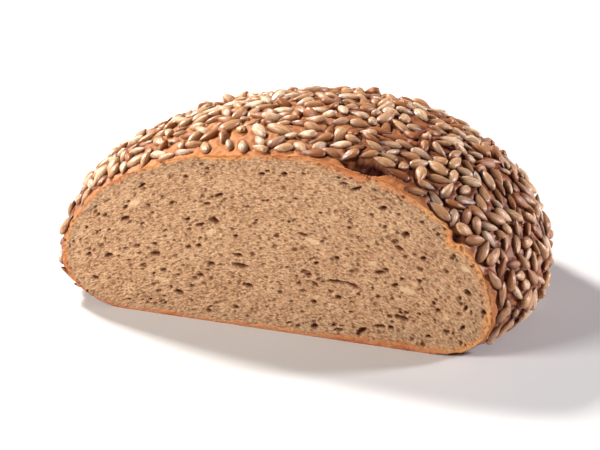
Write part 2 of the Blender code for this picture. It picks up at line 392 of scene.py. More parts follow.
def more_kernels(held):
    """(turn, rise, heading, size) of kernels between those of the solid: most of them each where the
    crust is barest, and the last ones anywhere with some room."""
    chance = np.random.default_rng(RANDOM_START)
    turns = chance.uniform(-math.pi, math.pi, PLACES)
    rises = chance.uniform(LOWEST_KERNEL, math.pi / 2, PLACES)
    areas = np.array([spread_area(rise) for rise in rises])
    points = crust_points(turns, rises)
    kept = (chance.random(PLACES) < areas) & (points[:, 1] > CUT_Y + CENTRE_MARGIN)
    kept &= np.array([not in_fissure(point) for point in points])
    turns, rises, points = turns[kept], rises[kept], points[kept]
    worth = chance.uniform(0.8, 1.2, len(points)) / room_at(points)
    gaps = np.full(len(points), FAR)
    for turn, rise, _, _ in held:
        gaps = np.minimum(gaps, np.linalg.norm(points - crust_points(turn, rise), axis=1))
    places = []
    missing = KERNELS - len(held)
    while len(places) < missing:
        if len(places) < missing * (1 - LOOSE_SHARE):
            i = np.argmax(gaps * worth)
        else:
            i = chance.choice(np.flatnonzero(gaps > CLOSEST))
        heading = chance.uniform(0, 2 * math.pi)
        size = chance.uniform(SMALLEST_BETWEEN, LARGEST_BETWEEN)
        places.append((turns[i], rises[i], heading, size))
        gaps = np.minimum(gaps, np.linalg.norm(points - points[i], axis=1))
    return places


def tree_of(points):
    tree = kdtree.KDTree(len(points))
    for i, point in enumerate(points):
        tree.insert(point, i)
    tree.balance()
    return tree


def near_pairs(points, radius):
    """Each pair of points that lie closer together than this."""
    tree = tree_of(points)
    pairs = []
    for i, point in enumerate(points):
        pairs.extend((i, j) for _, j, _ in tree.find_range(point, radius) if j > i)
    return np.array(pairs)


def push_from_fissure(points, room):
    """How far points move away from the cut in a step, so that they clear the fissure and its lower lip
    by this room."""
    centre, along, side, _ = fissure_frame()
    lengthways = (points - centre) @ along / (FISSURE_HALF_LENGTH + room)
    sideways = ((points - centre) @ side + FISSURE_LIP) / (FISSURE_HALF_WIDTH + FISSURE_LIP + room)
    inside = np.maximum(1 - np.hypot(lengthways, sideways), 0)
    return side * (inside * FISSURE_PUSH)[:, None]


def settled_kernels(draw):
    """Kernels jostled apart until they lie side by side. Those of the solid stay where they are,
    but for the ones that lie beside the fissure."""
    held = solid_kernels(draw)
    places = np.array(held + more_kernels(held))
    turn, rise, heading, size = places.T.copy()
    from_fissure = np.linalg.norm(crust_points(turn, rise) - fissure_frame()[0], axis=1)
    free = (np.arange(len(places)) >= len(held)) | (from_fissure < 2 * FISSURE_HALF_LENGTH)
    offsets = np.array([offset for offset, _ in KERNEL_DISCS]) * KERNEL_LENGTH / 2
    radii = np.array([share for _, share in KERNEL_DISCS]) * KERNEL_WIDTH / 2
    pairs = None
    for step in range(SETTLE_STEPS):
        point, normal, along = crust_frame(turn, rise)
        direction = headed(heading, normal, along)
        if step % STEPS_PER_SEARCH == 0:
            pairs = near_pairs(point, SETTLE_RADIUS)
        one, other = pairs.T
        push = np.zeros_like(point)
        twist = np.zeros(len(point))
        between = point[one] - point[other]
        apart = np.linalg.norm(between, axis=1) + 1e-9
        force = between * (EVEN_FORCE * np.maximum(EVEN_GAP - apart, 0) / apart)[:, None]
        np.add.at(push, one, force)
        np.add.at(push, other, -force)
        for a in range(len(offsets)):
            for b in range(len(offsets)):
                arm_one = direction[one] * (offsets[a] * size[one])[:, None]
                arm_other = direction[other] * (offsets[b] * size[other])[:, None]
                between = point[one] + arm_one - point[other] - arm_other
                apart = np.linalg.norm(between, axis=1) + 1e-9
                wanted = PACKED * (radii[a] * size[one] + radii[b] * size[other])
                overlap = np.maximum(wanted - apart, 0)
                force = between * (OVERLAP_FORCE * overlap / apart)[:, None]
                np.add.at(push, one, force)
                np.add.at(push, other, -force)
                turn_one = np.einsum("ij,ij->i", np.cross(arm_one, force), normal[one])
                turn_other = np.einsum("ij,ij->i", np.cross(arm_other, -force), normal[other])
                np.add.at(twist, one, turn_one)
                np.add.at(twist, other, turn_other)
        short = CUT_Y + CUT_MARGIN + kernel_reach(size, direction) - point[:, 1]
        push[:, 1] += np.clip(short, 0, MOST_SHORT) * CUT_FORCE
        for offset, radius in zip(offsets, radii):
            arm = direction * (offset * size)[:, None]
            force = push_from_fissure(point + arm, radius + FISSURE_ROOM)
            push += force
            twist += np.einsum("ij,ij->i", np.cross(arm, force), normal)
        old_turn, old_rise = crust_angles(point)
        new_turn, new_rise = crust_angles(point + push)
        swing = np.arctan2(np.sin(new_turn - old_turn), np.cos(new_turn - old_turn))
        turn = np.where(free, turn + swing, turn)
        climbed = np.clip(rise + new_rise - old_rise, LOWEST_KERNEL, HIGHEST_RISE)
        rise = np.where(free, climbed, rise)
        twisted = np.clip(twist * TWIST_FORCE, -MOST_TWIST, MOST_TWIST)
        heading = heading + np.where(free, twisted, 0)
    return turn, rise, heading, size, free


# Crust


def noise_at(points, length, seed):
    """Noise from about -1 to 1 that varies over this length."""
    offset = Vector((seed * 7.31, seed * 3.17, seed * 5.73))
    return np.array([noise.noise(Vector(point) / length + offset) for point in points]) * 1.6


def layered_noise(points, layers):
    """The sum of noises, each given by its height, its length and its random start."""
    return sum(height * noise_at(points, length, seed) for height, length, seed in layers)


def lumps_at(points):
    """How far the dough swells out, in metres: the low relief that the kernels ride on too."""
    return layered_noise(points, DOUGH_SWELLS)


def crust_rings():
    """(turns, rise) of rings of evenly spaced points, from the base's rim to the top."""
    rises = np.linspace(-math.pi / 2, math.pi / 2, PROFILE_POINTS)
    line = crust_points(np.zeros_like(rises), rises)
    run = np.concatenate([[0], np.cumsum(np.linalg.norm(np.diff(line, axis=0), axis=1))])
    stops = np.linspace(0, run[-1], int(run[-1] / (CRUST_STEP * ROW_SHARE)))
    rings = []
    for k, rise in enumerate(np.interp(stops, run, rises)[:-1]):
        rim = crust_points(np.array([0.0, math.pi]), np.full(2, rise))
        width = np.linalg.norm(rim[0] - rim[1])
        count = max(FEWEST_IN_RING, int(math.pi * width / CRUST_STEP))
        rings.append((2 * math.pi * (np.arange(count) + 0.5 * (k % 2)) / count, rise))
    return rings


def between_rings(first_a, turns_a, first_b, turns_b):
    """Triangles between two rings of different counts."""
    triangles = []
    count_a, count_b = len(turns_a), len(turns_b)
    i = j = 0
    while i < count_a or j < count_b:
        next_a = turns_a[(i + 1) % count_a] + 2 * math.pi * ((i + 1) // count_a)
        next_b = turns_b[(j + 1) % count_b] + 2 * math.pi * ((j + 1) // count_b)
        a, b = first_a + i % count_a, first_b + j % count_b
        if j >= count_b or (i < count_a and next_a <= next_b):
            triangles.append((a, first_a + (i + 1) % count_a, b))
            i += 1
        else:
            triangles.append((a, first_b + (j + 1) % count_b, b))
            j += 1
    return triangles


def whole_crust():
    """(points, normals, rises, triangles, how many points the base's rim has) of the uncut loaf."""
    rings = crust_rings()
    turns = np.concatenate([ring_turns for ring_turns, _ in rings])
    rises = np.concatenate([np.full(len(ring_turns), rise) for ring_turns, rise in rings])
    firsts = np.concatenate([[0], np.cumsum([len(ring_turns) for ring_turns, _ in rings])])
    triangles = []
    for k in range(len(rings) - 1):
        triangles += between_rings(firsts[k], rings[k][0], firsts[k + 1], rings[k + 1][0])
    top = len(turns)
    last = firsts[len(rings) - 1]
    count = len(rings[-1][0])
    triangles += [(last + i, last + (i + 1) % count, top) for i in range(count)]
    turns = np.append(turns, 0.0)
    rises = np.append(rises, math.pi / 2 - 1e-4)
    points, normals, _ = crust_frame(turns, rises)
    normals[-1] = (0, 0, 1)
    return points, normals, rises, triangles, len(rings[0][0])


def base_disc(rim, first_free):
    """(points, triangles) that close the base inside its rim, in rings that shrink to the middle."""
    centre = rim.mean(axis=0)
    shares = np.linspace(1, 0, BASE_RINGS + 2)[1:-1]
    points, triangles = [], []
    previous = 0
    count = len(rim)
    turns = np.arange(count)
    for k, share in enumerate(shares):
        points.append(centre + (rim - centre) * share)
        first = first_free + k * count
        for i in turns:
            j = (i + 1) % count
            triangles.append((previous + j, previous + i, first + i))
            triangles.append((previous + j, first + i, first + j))
        previous = first
    middle = first_free + len(shares) * count
    points.append(centre[None, :])
    triangles += [(previous + (i + 1) % count, previous + i, middle) for i in turns]
    return np.concatenate(points), triangles


def kernel_nearness(points, kernels):
    """Distance from each point to the nearest kernels, as a share of a kernel's half breadth there."""
    centre, direction, side = kernels["point"], kernels["direction"], kernels["side"]
    tree = tree_of(centre)
    near =np.array([[found[1] for found in tree.find_n(point, NEIGHBOURS)] for point in points])
    best = np.full(len(points), FAR)
    for i in near.T:
        offset = points - centre[i]
        lengthways = np.einsum("ij,ij->i", offset, direction[i]) / (KERNEL_LENGTH / 2)
        sideways = np.einsum("ij,ij->i", offset, side[i]) / (KERNEL_WIDTH / 2)
        best = np.minimum(best, np.hypot(lengthways, sideways) / kernels["size"][i])
    return best


def crust_relief(points, rises, kernels):
    """Displacement of the crust outward, and from 0 to 1 how much shade is painted in each point's
    hollow (the grooves round the kernels, the fissure and the notch), how much the dough rises round a
    kernel there, and how closely kernels lie round it."""
    lumps = lumps_at(points)
    nearness = kernel_nearness(points, kernels)
    patchy = 0.70 + 0.45 * noise_at(points, 0.006, 3)
    collar = np.exp(-(((nearness - COLLAR_PLACE) / COLLAR_REACH) ** 2)) * patchy
    uneven = 0.75 + 0.25 * noise_at(points, 0.004, 9)
    groove = np.exp(-(((nearness - GROOVE_PLACE) / GROOVE_REACH) ** 2)) * uneven
    grain = noise_at(points, 0.0032, 4)
    fine = noise_at(points, 0.0014, 5)
    centre, along, side, _ = fissure_frame()
    wander = layered_noise(points, FISSURE_WANDER)
    lengthways = (points - centre) @ along / FISSURE_HALF_LENGTH
    sideways = ((points - centre) @ side + wander) / (FISSURE_HALF_WIDTH * FISSURE_WIDER)
    fissure = np.clip(1.25 - lengthways**2 - sideways**2, 0, 1) ** 0.5
    from_notch = np.linalg.norm(points - crust_points(NOTCH_TURN, NOTCH_RISE), axis=1)
    notch = np.clip(1 - from_notch / NOTCH_RADIUS, 0, 1) ** 0.6
    packed = np.clip((2.5 - nearness) / 1.1, 0, 1)
    rough = (0.00026 + 0.00012 * packed) * grain + (0.00014 + 0.00004 * packed) * fine
    fissure_depth = FISSURE_DEPTH + 0.0008 + 0.0013 * grain + 0.0008 * fine
    out = lumps + COLLAR_HEIGHT * collar - GROOVE_DEPTH * groove + rough
    out = out - NOTCH_DEPTH * notch - fissure * fissure_depth
    shaded = np.clip(0.84 + 0.50 * lengthways + 0.30 * grain, 0.25, 1)
    # Painted shade in the grooves round the kernels, less where the dough on top is paler and lit; with
    # the fissure and the notch it makes the hollows' painted shade
    browning_and_shade = 0.8 * groove * (1 - 0.3 * paleness_and_light(points))
    hollow_shade = np.maximum.reduce([browning_and_shade, fissure * shaded, notch])
    fade = np.clip((rises + math.pi / 2) / RELIEF_FADE, 0, 1)
    return out * fade, hollow_shade, collar, packed


def paleness_and_light(points):
    """From 0 to 1, how pale the dough is: partly a paler bake, partly painted light on top where the
    light falls.
    """
    across, behind = points[:, 0] - PALE_X, points[:, 1] - PALE_Y
    near = np.exp(-((across**2 + behind**2) / PALE_REACH**2))
    upper = np.clip((points[:, 2] - 0.030) / 0.045, 0, 1)
    return np.clip(near * upper + 0.12 * noise_at(points, 0.013, 12), 0, 1)


def mesh_of(name, points, triangles, layers):
    """A mesh object from arrays, with a float attribute for each layer."""
    mesh = bpy.data.meshes.new(name)
    mesh.from_pydata([tuple(point) for point in points], [], triangles)
    for layer, values in layers.items():
        attribute = mesh.attributes.new(layer, "FLOAT", "POINT")
        attribute.data.foreach_set("value", np.asarray(values, np.float32))
    made = bpy.data.objects.new(name, mesh)
    bpy.context.scene.collection.objects.link(made)
    return made


def cut_front(build, y):
    """Cuts off all that lies before this place, and gives the new edges and corners."""
    cut = bmesh.ops.bisect_plane(
        build,
        geom=build.verts[:] + build.edges[:] + build.faces[:],
        dist=1e-7,
        plane_co=(0, y, 0),
        plane_no=(0, -1, 0),
        clear_outer=True,
    )
    return cut["geom_cut"]


def finish_mesh(build, made):
    """Turns all faces outward and gives the mesh back to its object."""
    bmesh.ops.recalc_face_normals(build, faces=build.faces[:])
    build.to_mesh(made.data)
    build.free()
    made.data.shade_smooth()


def ordered_loop(edges):
    """The corners of one closed loop of edges, in order."""
    links = {}
    for edge in edges:
        for vert in edge.verts:
            links.setdefault(vert, []).append(edge)
    start = edges[0].verts[0]
    loop, vert, edge = [start], start, edges[0]
    while True:
        vert = edge.other_vert(vert)
        if vert is start:
            return loop
        loop.append(vert)
        first, second = links[vert]
        edge = second if first is edge else first


def close_behind(build, loop, depth, shrink):
    """Closes an open rim with a strip that runs back into the loaf and a lid behind it."""
    centre = sum((vert.co for vert in loop), Vector()) / len(loop)
    back = []
    for vert in loop:
        inner = centre + (vert.co - centre) * shrink
        back.append(build.verts.new((inner.x, inner.y + depth, inner.z)))
    count = len(loop)
    for i in range(count):
        j = (i + 1) % count
        build.faces.new((loop[i], loop[j], back[j], back[i]))
    lid = build.faces.new(back)
    bmesh.ops.triangulate(build, faces=[lid])


def make_crust(kernels):
    """The crust from the cut backwards, and the outline of its rim on the cut."""
    points, normals, rises, triangles, rim_count = whole_crust()
    displacement, hollow_shade, collar, packed = crust_relief(points, rises, kernels)
    points = points + normals * displacement[:, None]
    points[:, 2] = np.maximum(points[:, 2], 0.0)
    points[:rim_count, 2] = 0.0
    disc, disc_triangles = base_disc(points[:rim_count], len(points))
    below = np.clip(1 - (rises + math.pi / 2) / BASE_BROWNING, 0, 1)
    points = np.concatenate([points, disc])
    flat = np.zeros(len(disc))
    pale_and_lit = paleness_and_light(points[: len(hollow_shade)])
    layers = {"hollow_shade": hollow_shade, "collar": collar, "packed": packed, "pale_and_lit": pale_and_lit}
    layers = {name: np.concatenate([values, flat]) for name, values in layers.items()}
    layers["under"] = np.concatenate([below, flat + 1])
    layers["behind"] = (points[:, 1] - CUT_Y) * MILLIMETRES
    crust = mesh_of("crust", points, triangles + disc_triangles, layers)
    build = bmesh.new()
    build.from_mesh(crust.data)
    cut_front(build, CUT_Y)
    at_cut = [vert for vert in build.verts if vert.co.y < CUT_Y + 1e-5]
    bmesh.ops.remove_doubles(build, verts=at_cut, dist=MERGED_AT_CUT)
    rim = ordered_loop([edge for edge in build.edges if edge.is_boundary])
    outline = np.array([(vert.co.x, vert.co.z) for vert in rim])
    close_behind(build, rim, CRUST_BACK, CRUST_NARROWS)
    finish_mesh(build, crust)
    return crust, outline


# Crumb


def pore_list(draw):
    """(x, z, half length, height over length, slope, depth, darkness of the painted shade in it) of
    every pore.
    """
    found = [
        (*shape, min(DEEPEST_PORE, LARGE_PORE_DEPTH + shape[2] * shape[3]), 1.0)
        for shape in LARGE_PORES
    ]
    for count, shortest, longest, faintest, darkest in SMALL_PORES:
        for _ in range(count):
            x = draw.uniform(-LOAF_RADIUS, LOAF_RADIUS)
            z = draw.uniform(0.003, LOAF_HEIGHT - 0.002)
            half_length = shortest + (longest - shortest) * draw.random() ** 1.6
            flatness = draw.uniform(0.36, 0.80)
            slope = flow_slope(x, z) + draw.gauss(0, 0.22)
            dark = draw.uniform(faintest, darkest)
            depth = SMALL_PORE_DEPTH + half_length * dark
            found.append((x, z, half_length, flatness, slope, depth, dark))
    return found


def flow_slope(x, z):
    """Slope of the crumb's grain: level in the middle, along the crust near the rim."""
    rise = (z - WIDEST_HEIGHT) / (LOAF_HEIGHT - WIDEST_HEIGHT)
    run = x / math.sqrt(LOAF_RADIUS**2 - CUT_FROM_AXIS**2)
    level = min(1.0, math.hypot(rise, run))
    tangent = math.atan2(-run * 0.67, max(rise, 0.15))
    return tangent * level**2


def outline_distance(points, outline):
    """Distance of points to the outline, and whether each lies inside it."""
    ends = np.roll(outline, -1, axis=0)
    run = ends - outline
    length = (run**2).sum(axis=1)
    distance = np.full(len(points), FAR)
    crossings = np.zeros(len(points), int)
    for start, step, squared, end in zip(outline, run, length, ends):
        offset = points - start
        share = np.clip(offset @ step / max(squared, 1e-16), 0, 1)
        gap = offset - share[:, None] * step
        distance = np.minimum(distance, np.hypot(gap[:, 0], gap[:, 1]))
        spans = (start[1] > points[:, 1]) != (end[1] > points[:, 1])
        rise = end[1] - start[1] if end[1] != start[1] else 1e-12
        crossing = start[0] + (points[:, 1] - start[1]) / rise * step[0]
        crossings += spans & (points[:, 0] < crossing)
    return distance, crossings % 2 == 1


def ellipse_share(points, x, z, half_length, flatness, slope):
    """Squared distance from an ellipse's middle: 1 on its edge."""
    offset = points - (x, z)
    along = (offset[:, 0] * math.cos(slope) + offset[:, 1] * math.sin(slope)) / half_length
    across = (-offset[:, 0] * math.sin(slope) + offset[:, 1] * math.cos(slope))
    across = across / (half_length * flatness)
    return along**2 + across**2


def crumb_grid(outline):
    """(places on the cut, distance of each to the outline, faces) of a fine mesh inside the outline."""
    low, high = outline.min(axis=0), outline.max(axis=0)
    columns = np.arange(low[0], high[0], CRUMB_STEP)
    rows = np.arange(low[1], high[1], CRUMB_STEP * ROW_SHARE)
    grid_x, grid_z = np.meshgrid(columns, rows)
    grid_x = grid_x + (np.arange(len(rows)) % 2)[:, None] * CRUMB_STEP / 2
    jitter = np.random.default_rng(RANDOM_START)
    inner = np.stack([grid_x.ravel(), grid_z.ravel()], axis=1)
    inner = inner + jitter.uniform(-CRUMB_JITTER, CRUMB_JITTER, inner.shape) * CRUMB_STEP
    distance, inside = outline_distance(inner, outline)
    kept = inside & (distance > CRUMB_STEP * CRUMB_CLEARANCE)
    flat = np.concatenate([outline, inner[kept]])
    distance = np.concatenate([np.zeros(len(outline)), distance[kept]])
    rim_edges = [(i, (i + 1) % len(outline)) for i in range(len(outline))]
    verts, _, faces, origins, _, _ = delaunay_2d_cdt(
        [Vector(point) for point in flat], rim_edges, [], 1, 1e-8
    )
    flat = np.array([(vert.x, vert.y) for vert in verts])
    distance = np.array([distance[origin[0]] if origin else 0.0 for origin in origins])
    return flat, distance, [tuple(face) for face in faces]


def crumb_pores(flat, wobble, draw):
    """How deep the pores are at each place of the cut, and how much shade is painted in them."""
    order = np.argsort(flat[:, 0])
    sorted_x = flat[order, 0]
    depth = np.zeros(len(flat))
    shade = np.zeros(len(flat))
    for x, z, half_length, flatness, slope, deep, dark in pore_list(draw):
        reach = half_length * 1.5
        first, last = np.searchsorted(sorted_x, (x - reach, x + reach))
        near = order[first:last]
        near = near[np.abs(flat[near, 1] - z) < reach]
        if not len(near):
            continue
        share = ellipse_share(flat[near], x, z, half_length, flatness, slope) * wobble[near]
        pit = np.clip(1 - share, 0, 1) ** 0.5
        depth[near] = np.maximum(depth[near], pit * deep)
        shade[near] = np.maximum(shade[near], np.clip(1.15 - share, 0, 1) ** 0.7 * dark)
    return depth, shade


def cut_seeds(flat, wobble):
    """From 0 to 1, whether a place of the cut lies on a seed."""
    seed = np.zeros(len(flat))
    for shape in CUT_SEEDS:
        share = ellipse_share(flat, *shape) * wobble
        seed = np.maximum(seed, np.clip((1.0 - share) * 2, 0, 1))
    return seed


def make_crumb(outline, draw):
    """The cut face: fine relief with pores, inside the rim of the crust."""
    flat, distance, faces = crumb_grid(outline)
    points = np.stack([flat[:, 0], np.full(len(flat), CUT_Y), flat[:, 1]], axis=1)
    wobble = 1 + 0.35 * noise_at(points, 0.0016, 21)
    depth, pore_shade = crumb_pores(flat, wobble, draw)
    seed = cut_seeds(flat, wobble)
    grain = points + (0, 0, 1) * (GRAIN_ARCH * flat[:, :1] ** 2)
    stretched = grain * (1.0, 1.0, GRAIN_STRETCH)
    soft = layered_noise(stretched, CRUMB_RELIEF) * (1 - 0.6 * seed)
    fade = np.clip(distance / CRUMB_FADE, 0, 1)
    points[:, 1] += (depth * (1 - seed) + CRUMB_SUNK + soft) * fade
    thinner = np.clip(1.10 - RIM_WIDENS * flat[:, 0], WIDEST_RIM, NARROWEST_RIM)
    layers = {
        # Painted shade in the pores
        "pore_shade": pore_shade * (1 - seed),
        "rim": distance * MILLIMETRES * thinner,
        "seed": seed,
        "foot": np.clip(1 - flat[:, 1] / FOOT_HEIGHT, 0, 1),
    }
    crumb = mesh_of("crumb", points, faces, layers)
    flow = crumb.data.attributes.new("grain", "FLOAT_VECTOR", "POINT")
    flow.data.foreach_set("vector", stretched.astype(np.float32).ravel())
    build = bmesh.new()
    build.from_mesh(crumb.data)
    rim = ordered_loop([edge for edge in build.edges if edge.is_boundary])
    close_behind(build, rim, CRUMB_BACK, CRUMB_NARROWS)
    finish_mesh(build, crumb)
    return crumb


# Kernels


def fullness(along):
    """Share of a kernel's full breadth at a place from -1, its blunt end, to 1, its point."""
    widest = (BLUNT_END - POINTED_END) / (BLUNT_END + POINTED_END)
    full = (1 + widest) ** BLUNT_END * (1 - widest) ** POINTED_END
    return (1 + along) ** BLUNT_END * (1 - along) ** POINTED_END / full


def kernel_pattern():
    """(along, full, turned, faces) of one kernel: sections from its blunt end to its point, how full
    it is at each, and the angle of each corner round it."""
    stops = -np.cos(np.linspace(0, math.pi, KERNEL_SECTIONS + 2))[1:-1] * 0.985
    angles = 2 * math.pi * (np.arange(KERNEL_SIDES) + 0.5) / KERNEL_SIDES
    along = np.concatenate([[-1], np.repeat(stops, KERNEL_SIDES), [1]])
    full = np.concatenate([[0], np.repeat(fullness(stops), KERNEL_SIDES), [0]])
    turned = np.concatenate([[0], np.tile(angles, KERNEL_SECTIONS), [0]])
    faces = []
    last = KERNEL_SECTIONS * KERNEL_SIDES + 1
    for i in range(KERNEL_SIDES):
        j = (i + 1) % KERNEL_SIDES
        faces.append((0, 1 + j, 1 + i))
        end = 1 + (KERNEL_SECTIONS - 1) * KERNEL_SIDES
        faces.append((last, end + i, end + j))
        for k in range(KERNEL_SECTIONS - 1):
            a, b = 1 + k * KERNEL_SIDES, 1 + (k + 1) * KERNEL_SIDES
            faces.append((a + i, a + j, b + j, b + i))
    return along, full, turned, faces


def kernel_frames(draw):
    """Where each kernel lies: its middle, its directions and its size."""
    turn, rise, heading, size, free = settled_kernels(draw)
    point, normal, along = crust_frame(turn, rise)
    direction = headed(heading, normal, along)
    point = point + normal * lumps_at(point)[:, None]
    side = np.cross(normal, direction)
    axes = {"direction": direction, "side": side, "normal": normal}
    return {"point": point, "size": size, "free": free, **axes}


def kernel_form(draw, size, free, along, full, turned):
    """(x, y, z over the dough) of a kernel's corners, and how far across it each lies. Each kernel is
    tilted, bent and dented a little differently."""
    long = draw.uniform(*LONG)
    wide = draw.uniform(*WIDE)
    thick = draw.uniform(*THICK)
    bend = draw.gauss(0, BEND)
    curve = draw.gauss(0, CURVE)
    pitch = draw.gauss(0, HELD_TILT)
    roll = draw.gauss(0, FREE_ROLL if free else HELD_TILT)
    sunk = draw.uniform(*SUNK)
    kind = draw.random()
    if free and kind < TILTED_SHARE:
        pitch = draw.choice((-1, 1)) * draw.uniform(*TILTED)
        sunk = draw.uniform(*TILTED_SUNK)
    elif free and kind < TILTED_OR_ROLLED_SHARE:
        roll = draw.choice((-1, 1)) * draw.uniform(*ROLLED)
        sunk = draw.uniform(*ROLLED_SUNK)
    squared = draw.uniform(*SQUARED)
    dent = draw.uniform(*DENT)
    across = np.cos(turned) * full
    height = np.sign(np.sin(turned)) * np.abs(np.sin(turned)) ** squared * full**0.85
    x = along * KERNEL_LENGTH / 2 * size * long
    uneven = 1 + 0.08 * np.sin(draw.uniform(2, 5) * along + draw.uniform(0, 6))
    y = (across * wide * uneven + curve * (1 - along**2)) * KERNEL_WIDTH / 2 * size
    crease = dent * np.exp(-((across / 0.42) ** 2)) * (height > 0)
    z = (height * thick * (1 - crease) + bend * (1 - along**2)) * KERNEL_THICKNESS / 2 * size
    y, z = y * math.cos(roll) - z * math.sin(roll), y * math.sin(roll) + z * math.cos(roll)
    x, z = x * math.cos(pitch) - z * math.sin(pitch), x * math.sin(pitch) + z * math.cos(pitch)
    z = z + KERNEL_THICKNESS * thick * size / 2 - sunk
    return np.stack([x, y, z], axis=1), across


def make_kernels(kernels, draw):
    """Every kernel as one joined mesh, each of its own form and colour."""
    along, full, turned, pattern = kernel_pattern()
    # Less painted shade at the kernels' feet where the dough on top is paler and lit
    shade = 1 - 0.42 * paleness_and_light(kernels["point"])
    points, faces = [], []
    layers = {name: [] for name in ("tone", "toast", "low", "lengthways", "crossways")}
    for i, point in enumerate(kernels["point"]):
        corners, across = kernel_form(draw, kernels["size"][i], kernels["free"][i], along, full, turned)
        axes = np.stack([kernels["direction"][i], kernels["side"][i], kernels["normal"][i]])
        placed = point + corners @ axes
        placed[:, 2] += max(0.0, FLOOR_GAP - placed[:, 2].min())
        placed[:, 2] -= max(0.0, placed[:, 2].max() - HIGHEST)
        first = len(along) * i
        points.append(placed)
        faces += [tuple(first + corner for corner in face) for face in pattern]
        layers["tone"].append(np.full(len(along), draw.random()))
        # How browned this kernel is all over: its own colour, not shade
        browning_and_shade = draw.random() ** 2.5
        ends = np.clip((np.abs(along) - 0.62) / 0.38, 0, 1) ** 1.5
        layers["toast"].append(np.clip(browning_and_shade * 0.75 + ends * draw.uniform(0.0, 0.8), 0, 1))
        # Painted shade at each kernel's foot, where it meets the dough
        layers["low"].append(np.clip(1 - corners[:, 2] / SHADED_FOOT, 0, 1) * shade[i])
        layers["lengthways"].append(along * 0.5 + i * 1.7)
        layers["crossways"].append(across * 1.5 + i * 0.9)
    layers = {name: np.concatenate(values) for name, values in layers.items()}
    made = mesh_of("kernels", np.concatenate(points), faces, layers)
    slice_kernels(made)
    return made


def slice_kernels(made):
    """Cuts any kernel that crosses the cut, and closes it where it is cut."""
    build = bmesh.new()
    build.from_mesh(made.data)
    found = cut_front(build, CUT_Y - KERNEL_PAST_CUT)
    rims = [item for item in found if isinstance(item, bmesh.types.BMEdge)]
    bmesh.ops.edgeloop_fill(build, edges=rims)
    finish_mesh(build, made)


# Materials

# Colours of the crust, as they look on a screen
BARE_DOUGH = (156, 98, 63), (128, 76, 45)
BLOTCHES = (178, 118, 81)
# Darker dough between closely packed kernels: painted shade
SHADED_DOUGH_BETWEEN = (148, 85, 51), (102, 44, 20)
# Paler dough on top: partly its own bake, partly painted light
PALE_LIT_DOUGH = (205, 141, 84), (186, 117, 66)
DOUGH_BY_CUT = (206, 130, 72)
SPECKS = (112, 54, 28)
# Lighter dough where it rises round a kernel: painted highlight
COLLAR_HIGHLIGHT = (190, 126, 90)
# Painted shade in the crust's hollows: the grooves round the kernels, the fissure and the notch
HOLLOW_SHADE = (66, 15, 3)
UNDERSIDE = (150, 88, 52), (112, 60, 34)

# Colours of the crumb
CRUMB = (208, 165, 126), (193, 148, 110)
# Greyer crumb near the rim: painted shade
SHADED_CRUMB_NEAR_RIM = (172, 140, 110)
DARK_GRAIN = (148, 97, 59)
PALE_GRAIN = (240, 204, 164)
RIM = (202, 120, 66), (236, 163, 96)
FOOT = (202, 122, 74)
RIM_LINE = (172, 88, 48)
# Painted shade inside the pores
PORE_SHADE = (92, 41, 15)
SEEDS_IN_CRUMB = (226, 190, 148)

# Colours of the kernels and of the floor
KERNEL = (240, 213, 177), (216, 171, 127)
DARK_KERNEL = (172, 115, 72)
STREAKS = (162, 97, 50)
TOASTED = (142, 68, 28)
# Painted shade at the kernels' feet
KERNEL_FOOT_SHADE = (76, 18, 3)
FLOOR = (222, 221, 219), (228, 227, 226)


class Shader:
    """A material's node tree, with short ways to add and join nodes."""

    def __init__(self, name):
        self.material = bpy.data.materials.new(name)
        self.material.use_nodes = True
        self.tree = self.material.node_tree
        self.base = self.tree.nodes["Principled BSDF"]
        self.place = self.tree.nodes.new("ShaderNodeTexCoord").outputs["Object"]

    def fill(self, node, inputs):
        """Gives a node's inputs their values: numbers, colours, or the outputs of other nodes."""
        for name, value in inputs.items():
            socket = node.inputs[name]
            if isinstance(value, bpy.types.NodeSocket):
                self.tree.links.new(value, socket)
            else:
                socket.default_value = linear(value) if isinstance(value, tuple) else value

    def node(self, kind, inputs, **settings):
        """The outputs of a new node."""
        made = self.tree.nodes.new(kind)
        for setting, value in settings.items():
            setattr(made, setting, value)
        self.fill(made, inputs)
        return made.outputs

    def layer(self, name):
        return self.node("ShaderNodeAttribute", {}, attribute_name=name)["Fac"]

    def noise(self, scale, detail, place=None):
        inputs = {"Scale": scale, "Detail": detail, "Roughness": 0.55, "Vector": place or self.place}
        return self.node("ShaderNodeTexNoise", inputs)["Fac"]

    def pits(self, scale, place):
        inputs = {"Scale": scale, "Smoothness": 0.6, "Vector": place}
        return self.node("ShaderNodeTexVoronoi", inputs, feature="SMOOTH_F1")["Distance"]

    def ranged(self, value, low, high, to_low=0.0, to_high=1.0):
        inputs = {"Value": value, "From Min": low, "From Max": high, "To Min": to_low, "To Max": to_high}
        return self.node("ShaderNodeMapRange", inputs, interpolation_type="SMOOTHSTEP")["Result"]

    def math(self, operation, first, second):
        return self.node("ShaderNodeMath", {0: first, 1: second}, operation=operation)["Value"]

    def part(self, value, share):
        return self.math("MULTIPLY", value, share)

    def mix(self, share, first, second):
        return self.node("ShaderNodeMix", {0: share, 6: first, 7: second}, data_type="RGBA")[2]

    def bumped(self, height, strength, distance, under=None):
        inputs = {"Height": height, "Strength": strength, "Distance": distance}
        if under:
            inputs["Normal"] = under
        return self.node("ShaderNodeBump", inputs)["Normal"]

    def finished(self, colour, roughness, specular, normal=None):
        inputs = {"Base Color": colour, "Roughness": roughness, "Specular IOR Level": specular}
        if normal:
            inputs["Normal"] = normal
        self.fill(self.base, inputs)
        return self.material


def linear(colour):
    """A colour given as it looks on a screen, from 0 to 255, as light."""
    shares = [value / 255 for value in colour]
    light = [share / 12.92 if share < 0.04045 else ((share + 0.055) / 1.055) ** 2.4 for share in shares]
    return (*light, 1.0)


